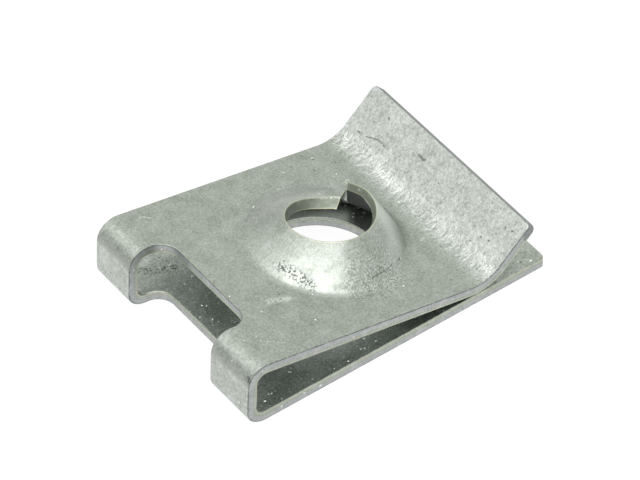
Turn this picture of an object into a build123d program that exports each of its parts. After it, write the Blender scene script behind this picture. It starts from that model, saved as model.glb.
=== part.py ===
"""U clip speed nut: one strip of spring steel, folded into a U that clips over a panel edge.

The lower leg lies flat and has a plain clearance hole. The upper leg slopes down to it, so
that the two pinch the panel at the throat, and then flares up as a lead-in. A boss drawn up
from the upper leg ends in a split, rising rim that takes the screw as a single thread.

The origin is the centre of the clearance hole, on the underside. +X points from the fold to
the open end, Y runs across the strip and +Z is up. Sizes are in millimetres and degrees.
"""

import os
from math import asin, atan2, cos, degrees, hypot, radians, sin, tan

from build123d import *

# Sheet and strip
sheet = 0.75
strip_width = 16.0
corner_radius = 0.4
edge_break = 0.06

# Lower leg, with distances measured from the outer face of the fold
leg_past_throat = 5.3
hole_to_fold = 11.0
clearance_hole_radius = 4.44

# Fold, with its outer radii
fold_height = 5.0
fold_lean = 0.3
fold_radius = 1.38

# Throat, where the upper leg comes closest to the lower one, just past the foot of its boss
boss_to_throat = 0.65
throat_gap = 0.05

# Lead-in flare
flare_angle = 41.5
flare_radius = 2.5
flare_length = 3.2

# Notch through the fold, which leaves two tabs
notch_width = 8.65
notch_off_centre = 0.2
notch_depth_upper = 3.2
notch_depth_lower = 2.6
notch_corner_radius = 1.25

# Threaded boss on the upper leg, with turns counted from the slit as the rim rises
boss_to_fold = 11.8
boss_radius = 5.25
foot_radius = 0.8
hollow_foot_radius = 0.5

# Its rim, a single turn of thread that also widens a little as it climbs. The sheet is drawn
# thinner as it goes up, by this share of its thickness at the high end.
thread_hole_radius = 2.65
rim_spread = 0.42
rim_height_low = 1.1
thread_pitch = 1.95
edge_lean_low = 40.0
edge_lean = 18.0
edge_lean_turn = 100.0
draw_thinning = 0.25

# Slit that parts the low and high ends of the rim. Each end is drawn towards the other beside
# it, by this share of the way to the level between them, within this much turn of the slit.
slit_angle = 33.0
slit_width = 0.2
slit_length = 1.1
slit_fade_turn = 40.0
slit_pull = 0.4
section_step = 22.5

# Distances from the fold that follow from the boss
throat_to_fold = boss_to_fold + boss_radius + boss_to_throat
lower_leg = throat_to_fold + leg_past_throat

# Cutters reach this far past what they cut
reach = 0.3
core_radius = thread_hole_radius / 2
slit_end_radius = thread_hole_radius + slit_length
shoulder_radius = slit_end_radius - slit_width / 2

# Faces that meet at less than this turn count as one smooth surface
smooth_turn = 12.0


def throat_centre():
    """Centre of the bend above the throat, as (distance from fold, height)."""
    return throat_to_fold, sheet + throat_gap + sheet + flare_radius


def upper_leg_slope():
    """Angle at which the upper leg runs down from the fold until it meets the throat bend."""
    centre_x, centre_z = throat_centre()
    run = centre_x - fold_lean
    drop = fold_height - centre_z
    return degrees(asin(flare_radius / hypot(run, drop)) + atan2(drop, run))


def on_upper_leg(distance):
    """Height of the upper leg's top face at a distance from the fold's outer face."""
    return fold_height - (distance - fold_lean) * tan(radians(upper_leg_slope()))


def flare_corners():
    """Sharp corner between upper leg and flare, and the flare's tip, on the top face."""
    slope = radians(upper_leg_slope())
    half_turn = radians(upper_leg_slope() + flare_angle) / 2
    centre_x, _ = throat_centre()
    setback = flare_radius * tan(half_turn)
    root_x = centre_x - flare_radius * sin(slope) + setback * cos(slope)
    root = Vector(root_x, on_upper_leg(root_x))
    along = Vector(cos(radians(flare_angle)), sin(radians(flare_angle)))
    return root, root + along * (setback + flare_length)


def folded_strip():
    """The strip bent to shape: its outer line, offset inwards by the sheet, run over its width."""
    root, tip = flare_corners()
    outer_line = FilletPolyline(
        (lower_leg, 0),
        (0, 0),
        (fold_lean, fold_height),
        (root.X, root.Y),
        (tip.X, tip.Y),
        radius=(fold_radius, fold_radius, flare_radius),
    )
    section = make_face(offset(outer_line, amount=sheet, side=Side.RIGHT, closed=True).edges())
    strip = extrude(Plane.XZ * section, amount=strip_width / 2, both=True)
    corners = strip.edges().filter_by(lambda edge: is_free_corner(edge, tip.X))
    return fillet(corners, corner_radius)


def is_free_corner(edge, tip_x):
    """Whether an edge crosses the sheet at one of the four corners of the strip's two ends."""
    centre = edge.center()
    at_side = abs(centre.Y) > strip_width / 2 - sheet / 10
    across = abs(edge.length - sheet) < sheet / 100
    return at_side and across and centre.X > tip_x - sheet


def fold_notch():
    """Cutter through the fold, deeper in the upper leg than in the lower one."""
    middle = fold_height / 2
    start = -reach - notch_corner_radius * 2
    cutters = []
    for depth, level in ((notch_depth_lower, -reach), (notch_depth_upper, middle)):
        plan = RectangleRounded(depth - start, notch_width, notch_corner_radius)
        place = Pos((depth + start) / 2, notch_off_centre, level)
        cutters.append(place * extrude(plan, amount=middle + reach))
    return cutters[0] + cutters[1]


def clearance_hole():
    """Cutter for the plain hole in the lower leg, which ends in the gap under the throat."""
    depth = reach + sheet + throat_gap / 2
    return Pos(hole_to_fold, 0, -reach) * extrude(Circle(clearance_hole_radius), amount=depth)


def sharp_edges(solid):
    """Edges where two faces meet at a corner, without those where one face runs into the next."""
    faces_at = {}
    for face in solid.faces():
        for edge in face.edges():
            faces_at.setdefault(edge, []).append(face)
    sharp = []
    for edge, faces in faces_at.items():
        if len(faces) == 2:
            point = edge @ 0.5
            turn = faces[0].normal_at(point).get_angle(faces[1].normal_at(point))
            if turn > smooth_turn:
                sharp.append(edge)
    return ShapeList(sharp)


def ease(share):
    """Smooth step from 1 at no share of the way to 0 at all of it and beyond."""
    share = min(1, share)
    return 1 - share * share * (3 - 2 * share)


def near_slit(turn):
    """How much the slit pulls on the sheet at a turn, from 1 beside it to 0 well away."""
    return ease(min(turn, 360 - turn) / slit_fade_turn)


def rim_radius(turn):
    """Radius of the rim's upper edge, at a turn in degrees on from the slit."""
    return thread_hole_radius + rim_spread * (turn / 360) ** 2


def rim_height(turn):
    """Height of the rim's upper edge above the upper leg, at a turn on from the slit."""
    climb = thread_pitch * turn / 360
    return rim_height_low + climb + (thread_pitch / 2 - climb) * slit_pull * near_slit(turn)


def cone_height(radius, turn):
    """Height of the boss's sloping face, on the straight line from its rim to its foot."""
    across = (boss_radius - radius) / (boss_radius - rim_radius(turn))
    return rim_height(turn) * across


def shoulder_height(turn):
    """Height of the face just short of the slit's end, where its low and high sides join up."""
    joined = (cone_height(shoulder_radius, 0) + cone_height(shoulder_radius, 360)) / 2
    cone = cone_height(shoulder_radius, turn)
    return cone + (joined - cone) * near_slit(turn)


def sheared_edge(turn):
    """Lean of the rim's sheared edge from upright, in radians, and its width down that lean."""
    lean = edge_lean + (edge_lean_low - edge_lean) * ease(turn / edge_lean_turn)
    return radians(lean), sheet * (1 - draw_thinning * turn / 360)


def radial_face(turn, *points):
    """Closed section of (radius, height) points, in the upright plane at a turn from the slit."""
    angle = radians(slit_angle + turn)
    plane = Plane(
        origin=(0, 0, 0),
        x_dir=(cos(angle), sin(angle), 0),
        z_dir=(sin(angle), -cos(angle), 0),
    )
    return plane * make_face(Polyline(*points, close=True))


def foot_run(turn, drop):
    """Radius at which the line down from the shoulder to the foot has gone on by a drop."""
    return boss_radius + drop * (boss_radius - shoulder_radius) / shoulder_height(turn)


def raised_section(turn):
    """Section of the boss as if solid, from its foot inside the sheet up past its rim."""
    rim = rim_height(turn)
    shoulder = shoulder_height(turn)
    steepness = (rim - shoulder) / (shoulder_radius - rim_radius(turn))
    inner = thread_hole_radius - sheet
    return radial_face(
        turn,
        (inner, rim + (rim_radius(turn) - inner) * steepness),
        (shoulder_radius, shoulder),
        (foot_run(turn, reach), -reach),
        (foot_run(turn, reach), -sheet - reach),
        (inner, -sheet - reach),
    )


def hollow_section(turn):
    """Section of what is open in the boss: under the sheet, and inwards of its sheared edge."""
    lean, width = sheared_edge(turn)
    radius = rim_radius(turn)
    rim = rim_height(turn)
    fall = atan2(rim - shoulder_height(turn), shoulder_radius - radius)
    broken = (radius - edge_break * sin(lean), rim - edge_break * cos(lean))
    break_across = cos(fall) + sin(lean)
    break_up = cos(lean) - sin(fall)
    past = core_radius / 2 / hypot(break_across, break_up)
    top = rim + 2 * thread_hole_radius
    return radial_face(
        turn,
        (core_radius, top),
        (broken[0] + past * break_across, top),
        (broken[0] + past * break_across, broken[1] + past * break_up),
        broken,
        (radius - width * sin(lean), rim - width * cos(lean)),
        (shoulder_radius, shoulder_height(turn) - sheet),
        (foot_run(turn, reach), -sheet - reach),
        (foot_run(turn, reach), -2 * sheet - reach),
        (core_radius, -2 * sheet - reach),
    )


def full_turn(section):
    """Solid swept round the boss through its sections, as two half turns from the slit."""
    halves = []
    for start in (0, 180):
        count = round(180 / section_step)
        turns = [start + 180 * index / count for index in range(count + 1)]
        halves.append(loft([section(turn) for turn in turns]))
    return halves[0] + halves[1]


def boss_plane():
    """Plane on the upper leg's top face, with its origin under the middle of the boss."""
    slope = radians(upper_leg_slope())
    return Plane(
        origin=(boss_to_fold, 0, on_upper_leg(boss_to_fold)),
        x_dir=(cos(slope), 0, -sin(slope)),
        z_dir=(sin(slope), 0, cos(slope)),
    )


def above(level):
    """Block that holds all of the boss above a level."""
    size = strip_width
    return Pos(0, 0, level) * Box(size, size, size, align=(Align.CENTER, Align.CENTER, Align.MIN))


def add_boss(strip):
    """Draw the boss up out of the upper leg, hollow below, then pierce and slit it."""
    raised = full_turn(raised_section) & above(-sheet / 2)
    core = extrude(Circle(core_radius + reach), amount=strip_width, both=True)
    slit_plan = Pos(slit_end_radius / 2, 0) * Rectangle(slit_end_radius, slit_width)
    slit = Rot(0, 0, slit_angle) * extrude(slit_plan, amount=strip_width, both=True)
    hollow = (full_turn(hollow_section) + core + slit) & above(-sheet - reach / 2)
    place = boss_plane().location
    boss = strip + place * raised - place * hollow
    boss = fillet(foot_edges(boss, 0), foot_radius)
    return fillet(foot_edges(boss, -sheet), hollow_foot_radius)


def foot_edges(solid, level):
    """The corner round the boss's foot, in the upper leg's top face or in its underside."""
    plane = boss_plane()
    found = ShapeList()
    for edge in sharp_edges(solid):
        points = [plane.to_local_coords(edge @ part) for part in (0.2, 0.5, 0.8)]
        in_face = all(abs(point.Z - level) < sheet / 50 for point in points)
        near = all(hypot(point.X, point.Y) < strip_width / 2 - sheet for point in points)
        if in_face and near:
            found.append(edge)
    return found


def build():
    """The whole nut, folded, notched, pierced and drawn, with its sheared edges just broken."""
    nut = folded_strip() - fold_notch() - clearance_hole()
    nut = chamfer(sharp_edges(nut), edge_break)
    return Pos(-hole_to_fold, 0, 0) * add_boss(nut)


os.makedirs("parts", exist_ok=True)
export_step(build(), "parts/folded_sheet.step")
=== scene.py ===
"""U clip speed nut in a plain studio: one zinc-plated spring steel clip on a white light table.

Blender works in metres here. Sizes of the clip are named in millimetres, and its textures
run in millimetres too, in the clip's own frame: +X from the fold to the open end, +Z up, and
zero in the middle of the clearance hole's underside.
"""

import math

import bpy
from mathutils import Matrix, Vector

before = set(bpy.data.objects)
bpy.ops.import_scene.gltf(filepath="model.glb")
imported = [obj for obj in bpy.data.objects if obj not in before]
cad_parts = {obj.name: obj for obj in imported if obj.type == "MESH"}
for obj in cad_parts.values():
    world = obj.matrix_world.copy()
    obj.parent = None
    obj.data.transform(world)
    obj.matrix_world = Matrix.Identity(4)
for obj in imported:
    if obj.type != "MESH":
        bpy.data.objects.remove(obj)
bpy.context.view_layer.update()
scene = bpy.context.scene
scene.view_settings.view_transform = "Standard"


# The clip
# One strip of spring steel, sheared to its outline, folded, drawn up and pierced in a press
# tool, then hardened and zinc plated. It is a single piece, so nothing is fixed to it.
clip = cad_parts["folded_sheet"]
mm = 0.001
sheet = 0.75

# The bends of the outer skin: radii, sharp corners in the x-z plane, and where each flat faces
fold_radius = 1.38
throat_radius = 2.5
fold_corner_low = Vector((-11.0, 0.0))
fold_corner_high = Vector((-10.7, 5.0))
throat_corner = Vector((7.4255, 1.3544))
down = Vector((0.0, -1.0))
out_of_fold = Vector((-0.9982, 0.0599))
out_of_leg = Vector((0.1972, 0.9804))
out_of_flare = Vector((-0.6626, 0.7490))

# The boss: its middle on the outer skin, its axis, the radius of the hollow under it, and the
# radius and the height over the skin that part its rim from the rest
boss_middle = (0.8, 0.0, 2.687)
boss_axis = (0.1972, 0.0, 0.9804)
hollow_radius = 5.7
rim_radius = 3.4
rim_height = 0.2


def srgb(hex_colour):
    """Linear colour, with alpha, of an sRGB hex value."""
    channels = [int(hex_colour[start : start + 2], 16) / 255 for start in (1, 3, 5)]
    linear = [c / 12.92 if c <= 0.04045 else ((c + 0.055) / 1.055) ** 2.4 for c in channels]
    return (*linear, 1.0)


def add_node(tree, kind, inputs=None, **settings):
    """Add a node with its settings, and give each named or numbered input a value or a link."""
    node = tree.nodes.new(kind)
    for name, value in settings.items():
        setattr(node, name, value)
    for key, value in (inputs or {}).items():
        if isinstance(value, bpy.types.NodeSocket):
            tree.links.new(value, node.inputs[key])
        else:
            node.inputs[key].default_value = value
    return node


def zone(tree, *limits):
    """Share of the surface that keeps to every limit, with soft ends.

    A limit is a measure with the values at which it gives none and all, or itself a share.
    """
    result = None
    for share in limits:
        if isinstance(share, tuple):
            inputs = {"Value": share[0], "From Min": share[1], "From Max": share[2]}
            soft_end = {"interpolation_type": "SMOOTHSTEP"}
            share = add_node(tree, "ShaderNodeMapRange", inputs, **soft_end).outputs[0]
        if result is not None:
            inputs = {0: result, 1: share}
            share = add_node(tree, "ShaderNodeMath", inputs, operation="MULTIPLY").outputs[0]
        result = share
    return result


def most(tree, *shares):
    """The largest of several shares."""
    result = shares[0]
    for share in shares[1:]:
        inputs = {0: result, 1: share}
        result = add_node(tree, "ShaderNodeMath", inputs, operation="MAXIMUM").outputs[0]
    return result


def built_up(tree, base, *layers):
    """A base value with layers on it, each an amount and its weight."""
    for amount, weight in layers:
        inputs = {0: amount, 1: weight, 2: base}
        base = add_node(tree, "ShaderNodeMath", inputs, operation="MULTIPLY_ADD").outputs[0]
    return base


def coated(tree, ground, *coats):
    """Colour of a ground under coats laid on in turn, each with the share that it covers."""
    colour = srgb(ground) if isinstance(ground, str) else ground
    for share, coat in coats:
        coat = srgb(coat) if isinstance(coat, str) else coat
        inputs = {0: share, 6: colour, 7: coat}
        colour = add_node(tree, "ShaderNodeMix", inputs, data_type="RGBA").outputs[2]
    return colour


def grain(tree, place, per_mm, detail=3.0):
    """Fine random pattern round 0.5, with so many turns in a millimetre, or one for each axis."""
    if not isinstance(per_mm, tuple):
        per_mm = (per_mm, per_mm, per_mm)
    scaled = add_node(tree, "ShaderNodeVectorMath", {0: place, 1: per_mm}, operation="MULTIPLY")
    inputs = {"Vector": scaled.outputs[0], "Scale": 1.0, "Detail": detail, "Roughness": 0.6}
    return add_node(tree, "ShaderNodeTexNoise", inputs).outputs[0]


def dots(tree, place, spacing, radius, share):
    """Round dots of mixed sizes, in a share of cells that lie a spacing apart."""
    cells = add_node(tree, "ShaderNodeTexVoronoi", {"Vector": place, "Scale": 1 / spacing}).outputs
    chosen = add_node(tree, "ShaderNodeSeparateColor", {0: cells["Color"]}).outputs
    smallest = 0.4 * radius / spacing
    size = built_up(tree, smallest, (chosen[1], radius / spacing))
    inputs = {0: chosen[0], 1: share}
    chance = add_node(tree, "ShaderNodeMath", inputs, operation="LESS_THAN").outputs[0]
    inputs = {0: cells["Distance"], 1: size}
    near = add_node(tree, "ShaderNodeMath", inputs, operation="LESS_THAN").outputs[0]
    return zone(tree, chance, near)


def marks(tree, place, *strokes):
    """Share of drawn marks, each with its start, end and half width, and soft at its sides."""
    shares = []
    for start, end, half_width in strokes:
        run = Vector(end) - Vector(start)
        inputs = {0: place, 1: start}
        offset = add_node(tree, "ShaderNodeVectorMath", inputs, operation="SUBTRACT").outputs[0]
        inputs = {0: offset, 1: run / run.length_squared}
        along = add_node(tree, "ShaderNodeVectorMath", inputs, operation="DOT_PRODUCT").outputs[1]
        on_run = add_node(tree, "ShaderNodeClamp", {0: along}).outputs[0]
        inputs = {0: run, "Scale": on_run}
        nearest = add_node(tree, "ShaderNodeVectorMath", inputs, operation="SCALE").outputs[0]
        inputs = {0: offset, 1: nearest}
        away = add_node(tree, "ShaderNodeVectorMath", inputs, operation="DISTANCE").outputs[1]
        shares.append(zone(tree, (away, half_width * 1.6, half_width * 0.3)))
    return most(tree, *shares)


def bend_middle(corner, first, second, radius):
    """Point that a bend turns about, from its sharp corner and the directions out of its flats."""
    return corner - Matrix((first, second)).inverted() @ Vector((radius, radius))


def depth_at_bend(tree, x, z, corner, first, second, radius, upright):
    """Depth in mm under the outer skin of a bend and of the two flats that run into it.

    The radius is negative where the bend is hollow. Upright is -1 where the arc lies under its
    middle, so that the turn is counted from straight down and has no jump on the arc.
    """
    middle = bend_middle(corner, first, second, radius)
    across = built_up(tree, -middle.x, (x, 1.0))
    up = built_up(tree, -upright * middle.y, (z, upright))
    turn = add_node(tree, "ShaderNodeMath", {0: across, 1: up}, operation="ARCTAN2").outputs[0]
    side = math.copysign(1.0, radius)
    ends = sorted(math.atan2(side * way.x, side * way.y * upright) for way in (first, second))
    kept = add_node(tree, "ShaderNodeClamp", {0: turn, 1: ends[0], 2: ends[1]}).outputs[0]
    past = built_up(tree, turn, (kept, -1.0))
    cosine = add_node(tree, "ShaderNodeMath", {0: past}, operation="COSINE").outputs[0]
    squares = built_up(tree, 0.0, (up, up), (across, across))
    reach = add_node(tree, "ShaderNodeMath", {0: squares}, operation="SQRT").outputs[0]
    return built_up(tree, radius, (zone(tree, reach, cosine), -side))


def boss_side(tree, outward, degrees, none_at, full_at):
    """Share of the boss on the side at a turn from +X, by the cosine of the angle from it."""
    turn = math.radians(degrees)
    inputs = {0: outward, 1: (math.cos(turn), math.sin(turn), 0.0)}
    cosine = add_node(tree, "ShaderNodeVectorMath", inputs, operation="DOT_PRODUCT").outputs[1]
    return zone(tree, (cosine, none_at, full_at))


def zinc_plate():
    """Bright zinc over rolled steel: satin grey with a green cast, finely mottled and scuffed.

    The bends and the drawn boss are partly rubbed brighter and partly painted with highlights,
    and sharp specks glint all over, with their glints also painted in as bright dots. The
    sheared edges were cut after rolling, so they have bands along them: a rounded corner that
    is painted dark as its shade, a pale burnished land, and a torn, yellowish burr at the side
    where the cut ended.
    """
    material = bpy.data.materials.new("bright_zinc_plate")
    material.use_nodes = True
    tree = material.node_tree
    bsdf = tree.nodes["Principled BSDF"]
    bsdf.inputs["Metallic"].default_value = 1.0
    spots = add_node(tree, "ShaderNodeTexCoord").outputs
    in_mm = {0: spots["Object"], "Scale": 1 / mm}
    place = add_node(tree, "ShaderNodeVectorMath", in_mm, operation="SCALE").outputs[0]
    x, _, z = add_node(tree, "ShaderNodeSeparateXYZ", {0: place}).outputs

    # Depth under the outer skin: of the fold's two bends up to the boss, of the throat past it
    low = depth_at_bend(tree, x, z, fold_corner_low, down, out_of_fold, fold_radius, -1.0)
    high = depth_at_bend(tree, x, z, fold_corner_high, out_of_fold, out_of_leg, fold_radius, 1.0)
    hollow_bend = (throat_corner, out_of_leg, out_of_flare, -throat_radius, -1.0)
    throat = depth_at_bend(tree, x, z, *hollow_bend)
    inputs = {0: x, 1: boss_middle[0]}
    past_boss = add_node(tree, "ShaderNodeMath", inputs, operation="GREATER_THAN").outputs[0]
    upper = built_up(tree, high, (past_boss, built_up(tree, throat, (high, -1.0))))
    depth = add_node(tree, "ShaderNodeMath", {0: low, 1: upper}, operation="MINIMUM").outputs[0]

    # Radius from the boss's axis, the way out from it, and height over the outer skin
    inputs = {0: place, 1: boss_middle}
    offset = add_node(tree, "ShaderNodeVectorMath", inputs, operation="SUBTRACT").outputs[0]
    inputs = {0: offset, 1: boss_axis}
    height = add_node(tree, "ShaderNodeVectorMath", inputs, operation="DOT_PRODUCT").outputs[1]
    axial = add_node(tree, "ShaderNodeVectorMath", inputs, operation="PROJECT").outputs[0]
    inputs = {0: offset, 1: axial}
    radial = add_node(tree, "ShaderNodeVectorMath", inputs, operation="SUBTRACT").outputs[0]
    radius = add_node(tree, "ShaderNodeVectorMath", {0: radial}, operation="LENGTH").outputs[1]
    outward = add_node(tree, "ShaderNodeVectorMath", {0: radial}, operation="NORMALIZE").outputs[0]
    inputs = {0: spots["Normal"], 1: outward}
    faces_out = add_node(tree, "ShaderNodeVectorMath", inputs, operation="DOT_PRODUCT").outputs[1]
    inputs = {0: spots["Normal"], 1: boss_axis}
    faces_up = add_node(tree, "ShaderNodeVectorMath", inputs, operation="DOT_PRODUCT").outputs[1]

    # Where the strip was sheared: between its two skins, but not in the hollow of the boss
    skin_ends = 0.02
    cut_starts = 0.05
    inputs = {0: radius, 1: hollow_radius}
    under_boss = add_node(tree, "ShaderNodeMath", inputs, operation="LESS_THAN").outputs[0]
    inputs = {0: z, 1: sheet + skin_ends}
    over_leg = add_node(tree, "ShaderNodeMath", inputs, operation="GREATER_THAN").outputs[0]
    inside = zone(tree, under_boss, over_leg)
    outer_limit = (depth, skin_ends, cut_starts)
    inner_limit = (depth, sheet - skin_ends, sheet - cut_starts)
    strip_cut = zone(tree, outer_limit, inner_limit, built_up(tree, 1.0, (inside, -1.0)))

    # The pierced rim of the boss: faces inwards, and a little up
    inputs = {0: radius, 1: rim_radius}
    by_hole = add_node(tree, "ShaderNodeMath", inputs, operation="LESS_THAN").outputs[0]
    inputs = {0: height, 1: rim_height}
    drawn_up = add_node(tree, "ShaderNodeMath", inputs, operation="GREATER_THAN").outputs[0]
    in_rim = zone(tree, by_hole, drawn_up)
    rim_cut = zone(tree, in_rim, (faces_out, -0.3, -0.5), (faces_up, 0.0, 0.15))
    cut = most(tree, strip_cut, rim_cut)

    # The draw tool burnished the front of the boss and left a grainy drag mark beside it. The
    # burnish is also a painted highlight, lighter where the overhead light shines off the boss's
    # front.
    on_boss = zone(tree, (radius, 5.9, 5.3), (radius, 2.6, 2.9))
    front = boss_side(tree, outward, -140, 0.72, 0.92)
    smears = (grain(tree, place, 1.7, 4.0), 0.34, 0.6)
    burnished_and_painted_highlight = zone(tree, front, on_boss, (radius, 2.9, 4.9), smears)
    beside = boss_side(tree, outward, -88, 0.86, 0.95)
    drags = (grain(tree, place, 2.2), 0.35, 0.6)
    dragged = zone(tree, beside, (radius, 6.9, 5.3), (radius, 3.0, 4.6), drags)

    # Mottle of the plate. Zinc grains are some hundredths of a millimetre across, too fine to
    # show, so they are drawn about 0.15 mm wide with a finer grit among them, over soft patches
    # of about 1 mm. The bends add the streaks that the tool pressed into them.
    fine = grain(tree, place, 7.0)
    grit = built_up(tree, -0.5, (grain(tree, place, 15.0, 2.0), 1.0))
    patches = built_up(tree, -0.5, (grain(tree, place, 0.9, 2.0), 1.0))
    streaks = built_up(tree, -0.5, (grain(tree, place, (3.2, 4.2, 3.2), 4.0), 1.0))
    on_fold = zone(tree, (x, -9.2, -9.9))
    streaks = zone(tree, streaks, most(tree, zone(tree, (x, 5.9, 7.2)), on_fold))
    speckle = built_up(tree, -0.35, (zone(tree, (grain(tree, place, 8.0), 0.46, 0.58)), 1.0))
    mottle = built_up(
        tree,
        0.5,
        (built_up(tree, -0.5, (fine, 1.0)), 1.5),
        (grit, 0.9),
        (patches, 0.7),
        (streaks, 1.1),
        (zone(tree, speckle, dragged), 1.1),
    )

    # Colour of the plate. The throat's bend is partly rubbed bright where it was stretched over
    # its tool, and partly a painted highlight. The boss's right side has painted light on it. The
    # lower round of the fold has a painted shade, standing for the dark room low down that it
    # mirrors. Inside the U the plate has its own tone, painted for the shade there, and under the
    # hole it has a painted pool of light where light comes in through it.
    # Painted highlight on the throat's bend, over its rubbed brightness
    stretched_and_painted_highlight = zone(tree, (x, 6.6, 8.4), (z, 0.9, 1.3))
    # Painted light on the boss's right side
    boss_side_painted_light = zone(tree, boss_side(tree, outward, -5, 0.7, 0.95), on_boss, (radius, 5.0, 3.9))
    # Painted shade along the lower round of the fold
    fold_painted_shade = zone(tree, (z, 3.3, 3.7), (z, 4.15, 3.9), on_fold)
    inner_skin = zone(tree, (depth, sheet - 0.03, sheet - 0.01))
    # Painted light and shade inside the U: its own tone of the plate, set for the shade there
    inside_u_painted_light_and_shade = zone(tree, inner_skin, (x, 9.2, 8.0))
    plate = coated(
        tree,
        "#959C91",
        (mottle, "#D6D9D6"),
        (zone(tree, burnished_and_painted_highlight, 0.4), "#E6E9E4"),
        (stretched_and_painted_highlight, coated(tree, "#A6AAA5", (mottle, "#F2F3F4"))),
        (zone(tree, boss_side_painted_light, 0.45), "#EFF1EF"),
        (zone(tree, fold_painted_shade, 0.45), "#8E938D"),
        (inside_u_painted_light_and_shade, coated(tree, "#858D86", (mottle, "#E4E8E5"))),
        # Painted pool of light on the inner skin under the hole
        (zone(tree, inside_u_painted_light_and_shade, (radius, 6.0, 5.0), 0.6), "#FAFBFA"),
    )

    # Colour across a sheared edge, from the outer skin to the inner one, with ragged bands. The
    # first, darkest bands, at the rounded corner of the outer skin, are painted shade.
    ragged = built_up(tree, depth, (built_up(tree, -0.5, (fine, 1.0)), 0.25))
    inputs = {0: ragged, 1: sheet}
    across = add_node(tree, "ShaderNodeMath", inputs, operation="DIVIDE").outputs[0]
    ramp = add_node(tree, "ShaderNodeValToRGB", {0: across})
    bands = (
        # Painted shade of the rounded corner at the outer skin
        (0.0, "#5C615F"),
        (0.1, "#7E8382"),
        (0.17, "#B4B7B8"),
        (0.5, "#B8BABB"),
        (0.64, "#AEB3A9"),
        (0.8, "#B6BBAE"),
        (0.92, "#CCCFBC"),
        (1.0, "#8E9078"),
    )
    for share, _ in bands[1:-1]:
        ramp.color_ramp.elements.new(share)
    for element, (share, hex_colour) in zip(ramp.color_ramp.elements, bands):
        element.position = share
        element.color = srgb(hex_colour)

    # Torn and polished places along the cuts, and the flare's end face, which is darker
    polished = (grain(tree, place, 1.6), 0.45, 0.7)
    edge = coated(
        tree,
        ramp.outputs[0],
        (in_rim, coated(tree, "#747A6E", (fine, "#BDC3B6"))),
        (zone(tree, (fine, 0.4, 0.7), 0.4), "#858985"),
        (zone(tree, polished, 0.3), "#DADCD7"),
        (zone(tree, (x, 10.2, 10.3), (z, 3.0, 3.4), 0.6), "#777A7C"),
    )

    # Painted shade: the pocket under the high end of the rim is painted near black and dull, as
    # the shade that fills it
    under_high_end = boss_side(tree, outward, 18, 0.93, 0.965)
    pocket_painted_shade = zone(tree, inside, (faces_up, -0.05, -0.3), under_high_end)

    # Burr and painted highlight: the corners of the pierced rim are torn and bare, and are painted
    # brighter as the thin highlight that runs along them
    burr_width = 0.13
    inputs = {"Radius": burr_width * mm}
    rounded = add_node(tree, "ShaderNodeBevel", inputs, samples=6).outputs[0]
    geometry = add_node(tree, "ShaderNodeNewGeometry").outputs
    inputs = {0: rounded, 1: geometry["Normal"]}
    unturned = add_node(tree, "ShaderNodeVectorMath", inputs, operation="DOT_PRODUCT").outputs[1]
    burr_and_painted_highlight = zone(tree, (unturned, 0.98, 0.88), in_rim)

    # Scuffs where the photograph shows them, as lines in mm: dark scratches and nicks, bright
    # places that are partly rubbed wear and partly painted glints and highlights, and pitted ones.
    # Their outlines wander a little, as real ones do.
    shake = add_node(tree, "ShaderNodeTexNoise", {"Vector": place, "Scale": 5.0}).outputs[1]
    inputs = {0: shake, 1: (0.5, 0.5, 0.5)}
    shake = add_node(tree, "ShaderNodeVectorMath", inputs, operation="SUBTRACT").outputs[0]
    inputs = {0: shake, 1: (0.25, 0.25, 0.25), 2: place}
    shaken = add_node(tree, "ShaderNodeVectorMath", inputs, operation="MULTIPLY_ADD").outputs[0]
    scratches = marks(
        tree,
        shaken,
        ((9.62, 1.93, 3.30), (9.67, 1.35, 3.34), 0.09),
        ((8.57, 6.11, 2.37), (8.86, 5.22, 2.62), 0.04),
        ((8.86, 5.22, 2.62), (8.86, 4.18, 2.63), 0.04),
        ((8.49, 6.84, 2.29), (8.55, 6.65, 2.34), 0.07),
        ((1.01, -4.75, 3.14), (2.13, -4.59, 2.93), 0.05),
        ((2.13, -4.59, 2.93), (3.81, -3.89, 2.46), 0.05),
        ((-10.63, -7.88, 3.99), (-10.5, -7.8, 4.1), 0.14),
        ((9.86, -6.67, 3.51), (9.9, -6.6, 3.54), 0.07),
    )
    rubbed_and_painted_highlights = marks(
        tree,
        shaken,
        ((7.41, 6.89, 1.66), (8.03, 7.30, 1.94), 0.2),
        ((7.73, 3.42, 1.78), (7.77, 1.79, 1.79), 0.35),
        ((7.78, -7.54, 1.80), (7.9, -7.0, 1.85), 0.3),
        ((10.6, -7.8, 4.15), (10.7, -7.5, 4.2), 0.15),
        ((-5.75, -3.21, 4.0), (-4.38, -3.6, 3.73), 0.22),
        ((-8.3, -6.12, 4.52), (-7.17, -6.82, 4.29), 0.04),
        ((-8.5, -5.95, 4.54), (-7.9, -6.3, 4.43), 0.04),
        ((-8.1, 7.2, 4.47), (-7.5, 6.8, 4.35), 0.07),
        ((5.7, 4.28, 1.7), (5.75, 4.2, 1.7), 0.09),
        ((4.1, 0.76, 4.56), (4.1, 0.7, 4.56), 0.08),
        ((2.3, 2.2, 3.72), (3.2, 1.65, 3.76), 0.09),
        ((5.4, 4.0, 1.76), (5.5, 4.1, 1.75), 0.12),
        ((6.2, -2.75, 1.6), (6.5, -2.7, 1.56), 0.1),
    )
    pitted = marks(
        tree,
        shaken,
        ((-3.32, -1.34, 4.11), (-2.70, -3.38, 3.64), 0.4),
        ((-4.8, -2.9, 3.8), (-4.4, -3.0, 3.75), 0.1),
        ((-8.6, 6.3, 0.75), (-7.0, 5.3, 0.75), 0.3),
    )

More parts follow.
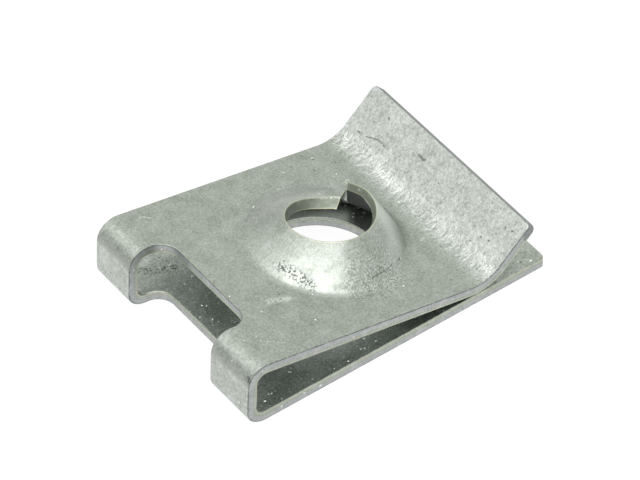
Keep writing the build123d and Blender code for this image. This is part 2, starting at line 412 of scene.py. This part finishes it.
    # Pits and glinting specks all over, and more specks inside the U. The specks tilt with the
    # relief, and their glints are also painted into the colour as near-white dots. They are drawn
    # 0.1 mm wide, which is coarser than the real ones, or they wouldn't show.
    pits = dots(tree, place, 0.55, 0.06, 0.16)
    specks_with_painted_glints = dots(tree, shaken, 0.42, 0.055, 0.16)
    inside_specks_with_painted_glints = zone(tree, dots(tree, shaken, 0.24, 0.06, 0.3), inner_skin)
    specks_with_painted_glints = most(tree, specks_with_painted_glints, inside_specks_with_painted_glints)
    eaten = (grain(tree, place, 6.0), 0.5, 0.58)
    dark = most(
        tree, zone(tree, most(tree, scratches, pits), 0.65), zone(tree, eaten, pitted, 0.85)
    )
    rubbed_and_painted_glints = most(tree, zone(tree, rubbed_and_painted_highlights, (fine, 0.36, 0.6), 0.75), specks_with_painted_glints)
    colour = coated(
        tree,
        plate,
        (cut, edge),
        # The pocket's coat is painted shade; the burr's coat and the bright marks' coat are partly
        # painted highlights and glints
        (zone(tree, pocket_painted_shade, 0.9), "#2E342F"),
        (burr_and_painted_highlight, "#E4E6C8"),
        (dark, "#4C514F"),
        (rubbed_and_painted_glints, "#F4F6F0"),
    )
    tree.links.new(colour, bsdf.inputs["Base Color"])

    # Satin sheen: duller on the cut edges and in the pocket of painted shade, glossier at the
    # rubbed places, the painted glints and the painted highlight on the boss
    satin = built_up(
        tree, 0.32, (fine, 0.16), (cut, 0.14), (rubbed_and_painted_glints, -0.12), (burnished_and_painted_highlight, -0.1), (pocket_painted_shade, 0.4)
    )
    tree.links.new(satin, bsdf.inputs["Roughness"])

    # Relief, in steps of 4 microns: about one on the flats and several on the boss, up to some
    # hundredths of a millimetre in the crinkles of the throat. Each speck has its own tilt.
    relief_step = 0.004
    coarse = built_up(tree, 1.0, (on_boss, 2.0), (dragged, 4.0))
    folds = grain(tree, place, (2.0, 2.8, 2.0), 2.0)
    crinkles = zone(tree, (x, 6.5, 7.4), (x, 9.2, 7.9), folds)
    relief = built_up(
        tree,
        0.0,
        (fine, coarse),
        (streaks, 3.5),
        (patches, 3.0),
        (crinkles, 26.0),
        (specks_with_painted_glints, 2.0),
        (dark, -2.0),
    )
    facets = add_node(tree, "ShaderNodeTexVoronoi", {"Vector": place, "Scale": 9.0}).outputs
    inputs = {0: facets["Color"], 1: (0.5, 0.5, 0.5)}
    tilt = add_node(tree, "ShaderNodeVectorMath", inputs, operation="SUBTRACT").outputs[0]
    inputs = {0: tilt, "Scale": zone(tree, specks_with_painted_glints, 1.6)}
    tilt = add_node(tree, "ShaderNodeVectorMath", inputs, operation="SCALE").outputs[0]
    inputs = {0: geometry["Normal"], 1: tilt}
    tilted = add_node(tree, "ShaderNodeVectorMath", inputs, operation="ADD").outputs[0]
    tilted = add_node(tree, "ShaderNodeVectorMath", {0: tilted}, operation="NORMALIZE").outputs[0]
    inputs = {"Height": relief, "Distance": relief_step * mm, "Strength": 1.0, "Normal": tilted}
    bump = add_node(tree, "ShaderNodeBump", inputs).outputs[0]
    tree.links.new(bump, bsdf.inputs["Normal"])
    return material


clip.data.materials.clear()
clip.data.materials.append(zinc_plate())


# The light table
# A sheet of opal acrylic, lit evenly from below, as product photographs are taken on. It
# fills the view with plain white from every side, and still takes a soft shadow.
def opal_acrylic():
    """Opal acrylic with a matt face: white by its own light, so that shadows on it are pale."""
    own_light = 0.84
    material = bpy.data.materials.new("opal_acrylic")
    material.use_nodes = True
    tree = material.node_tree
    bsdf = tree.nodes["Principled BSDF"]
    bsdf.inputs["Base Color"].default_value = srgb("#F3F3F3")
    bsdf.inputs["Roughness"].default_value = 0.7
    bsdf.inputs["Specular IOR Level"].default_value = 0.2
    path = add_node(tree, "ShaderNodeLightPath").outputs
    rays = ("Is Camera Ray", "Is Glossy Ray", "Is Transmission Ray")
    seen = most(tree, *(path[ray] for ray in rays))
    glow = add_node(tree, "ShaderNodeEmission", {"Color": srgb("#FFFFFF"), "Strength": 1.1})
    inputs = {0: zone(tree, seen, own_light), 1: bsdf.outputs[0], 2: glow.outputs[0]}
    both = add_node(tree, "ShaderNodeMixShader", inputs)
    tree.links.new(both.outputs[0], tree.nodes["Material Output"].inputs["Surface"])
    return material


table_size = 4.0
clearance = 0.02
half = table_size / 2
corners = [(-half, -half, 0), (half, -half, 0), (half, half, 0), (-half, half, 0)]
table_mesh = bpy.data.meshes.new("light_table")
table_mesh.from_pydata(corners, [], [(0, 1, 2, 3)])
table = bpy.data.objects.new("light_table", table_mesh)
table.location.z = -clearance * mm
table_mesh.materials.append(opal_acrylic())
scene.collection.objects.link(table)


# The light
# A wide softbox overhead and a weaker one behind on the left, in a pale grey room that is
# darker low down, most of all on the side that the fold faces.
def add_softbox(name, towards, distance, size, radiance):
    """Square softbox that faces the clip from a direction, with its brightness as seen."""
    data = bpy.data.lights.new(name, "AREA")
    data.shape = "SQUARE"
    data.size = size
    data.energy = radiance * math.pi * size * size
    lamp = bpy.data.objects.new(name, data)
    direction = Vector(towards).normalized()
    lamp.location = direction * distance
    lamp.rotation_mode = "QUATERNION"
    lamp.rotation_quaternion = direction.to_track_quat("Z", "Y")
    scene.collection.objects.link(lamp)


overhead = {"distance": 0.6, "size": 0.7, "radiance": 1.1}
left = {"distance": 0.6, "size": 0.42, "radiance": 0.38}
add_softbox("overhead_softbox", (-0.20, -0.26, 0.94), **overhead)
add_softbox("left_softbox", (-0.38, 0.50, 0.74), **left)

fold_side_wall = 0.1
open_side_wall = 0.52
ceiling = 0.81
ceiling_from = 0.35
room = bpy.data.worlds.new("pale_room")
scene.world = room
room.use_nodes = True
tree = room.node_tree
background = tree.nodes["Background"]
background.inputs["Color"].default_value = srgb("#FBFFF7")
direction = add_node(tree, "ShaderNodeTexCoord").outputs["Generated"]
sideways, _, height = add_node(tree, "ShaderNodeSeparateXYZ", {0: direction}).outputs
inputs = {"Value": sideways, "From Min": -1.0, "To Min": fold_side_wall, "To Max": open_side_wall}
wall = add_node(tree, "ShaderNodeMapRange", inputs).outputs["Result"]
inputs = {"Value": height, "From Max": ceiling_from, "To Min": wall, "To Max": ceiling}
level = add_node(tree, "ShaderNodeMapRange", inputs).outputs["Result"]
tree.links.new(level, background.inputs["Strength"])


# The camera
# A long lens, looking down on the fold end, so that the clip's sides stay almost parallel.
lens_distance = 0.330
aim = Vector((-0.00257, -0.00434, 0.00829))
azimuth = math.radians(-35.3)
elevation = math.radians(45.28)
roll = math.radians(-1.575)
camera_data = bpy.data.cameras.new("camera")
camera_data.sensor_width = 36.0
camera_data.lens = 306.49
camera_data.clip_start = 0.01
camera_data.clip_end = 10.0
camera = bpy.data.objects.new("camera", camera_data)
turned = Matrix.Rotation(azimuth, 4, "Z") @ Matrix.Rotation(math.pi / 2 - elevation, 4, "X")
back_off = Matrix.Translation((0.0, 0.0, lens_distance))
camera.matrix_world = Matrix.Translation(aim) @ turned @ Matrix.Rotation(roll, 4, "Z") @ back_off
scene.collection.objects.link(camera)
scene.camera = camera
